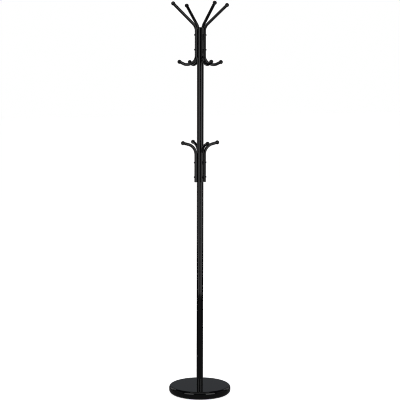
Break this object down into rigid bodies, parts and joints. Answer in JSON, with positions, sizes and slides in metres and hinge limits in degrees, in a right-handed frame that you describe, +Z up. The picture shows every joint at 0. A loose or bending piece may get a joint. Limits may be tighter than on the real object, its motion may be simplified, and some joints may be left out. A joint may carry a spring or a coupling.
{
  "type": "standing coat rack",
  "caption": "Free-standing coat rack: round weighted base, slim three-section pole, a crown of long double hooks on top and short hooks below.",
  "frame": {"origin": "on the floor, under the pole's axis, at the centre of the base", "axes": "+Z up along the pole; the upper hooks point along +X, +Y, -X and -Y"},
  "size_m": [0.2816, 0.2816, 1.7425],
  "materials": {
    "lacquer": "gloss",
    "ball_plastic": "gloss",
    "black_screws": "satin",
    "zinc_steel": "satin",
    "concrete": "matte",
    "foot_rubber": "matte"
  },
  "bodies": {
    "root": {"base_cover": "lacquer", "pole_lower": "lacquer", "pole_middle": "lacquer", "pole_upper": "lacquer", "upper_hook_1": "lacquer", "upper_hook_2": "lacquer", "upper_hook_3": "lacquer", "upper_hook_4": "lacquer", "lower_hook_1": "lacquer", "lower_hook_2": "lacquer", "lower_hook_3": "lacquer", "lower_hook_4": "lacquer", "pole_top_cap": "ball_plastic", "upper_hook_1_top_ball": "ball_plastic", "upper_hook_1_end_ball": "ball_plastic", "upper_hook_2_top_ball": "ball_plastic", "upper_hook_2_end_ball": "ball_plastic", "upper_hook_3_top_ball": "ball_plastic", "upper_hook_3_end_ball": "ball_plastic", "upper_hook_4_top_ball": "ball_plastic", "upper_hook_4_end_ball": "ball_plastic", "lower_hook_1_ball": "ball_plastic", "lower_hook_2_ball": "ball_plastic", "lower_hook_3_ball": "ball_plastic", "lower_hook_4_ball": "ball_plastic", "lower_hook_1_plug": "ball_plastic", "lower_hook_2_plug": "ball_plastic", "lower_hook_3_plug": "ball_plastic", "lower_hook_4_plug": "ball_plastic", "upper_hook_1_screw_1": "black_screws", "upper_hook_1_screw_2": "black_screws", "upper_hook_2_screw_1": "black_screws", "upper_hook_2_screw_2": "black_screws", "upper_hook_3_screw_1": "black_screws", "upper_hook_3_screw_2": "black_screws", "upper_hook_4_screw_1": "black_screws", "upper_hook_4_screw_2": "black_screws", "lower_hook_1_screw_1": "black_screws", "lower_hook_1_screw_2": "black_screws", "lower_hook_2_screw_1": "black_screws", "lower_hook_2_screw_2": "black_screws", "lower_hook_3_screw_1": "black_screws", "lower_hook_3_screw_2": "black_screws", "lower_hook_4_screw_1": "black_screws", "lower_hook_4_screw_2": "black_screws", "base_plate": "zinc_steel", "base_bolt": "zinc_steel", "base_washer": "zinc_steel", "base_insert": "zinc_steel", "joint_1_socket": "zinc_steel", "joint_1_stud": "zinc_steel", "joint_2_socket": "zinc_steel", "joint_2_stud": "zinc_steel", "base_weight": "concrete", "foot_1": "foot_rubber", "foot_2": "foot_rubber", "foot_3": "foot_rubber", "foot_4": "foot_rubber"}
  },
  "joints": []
}
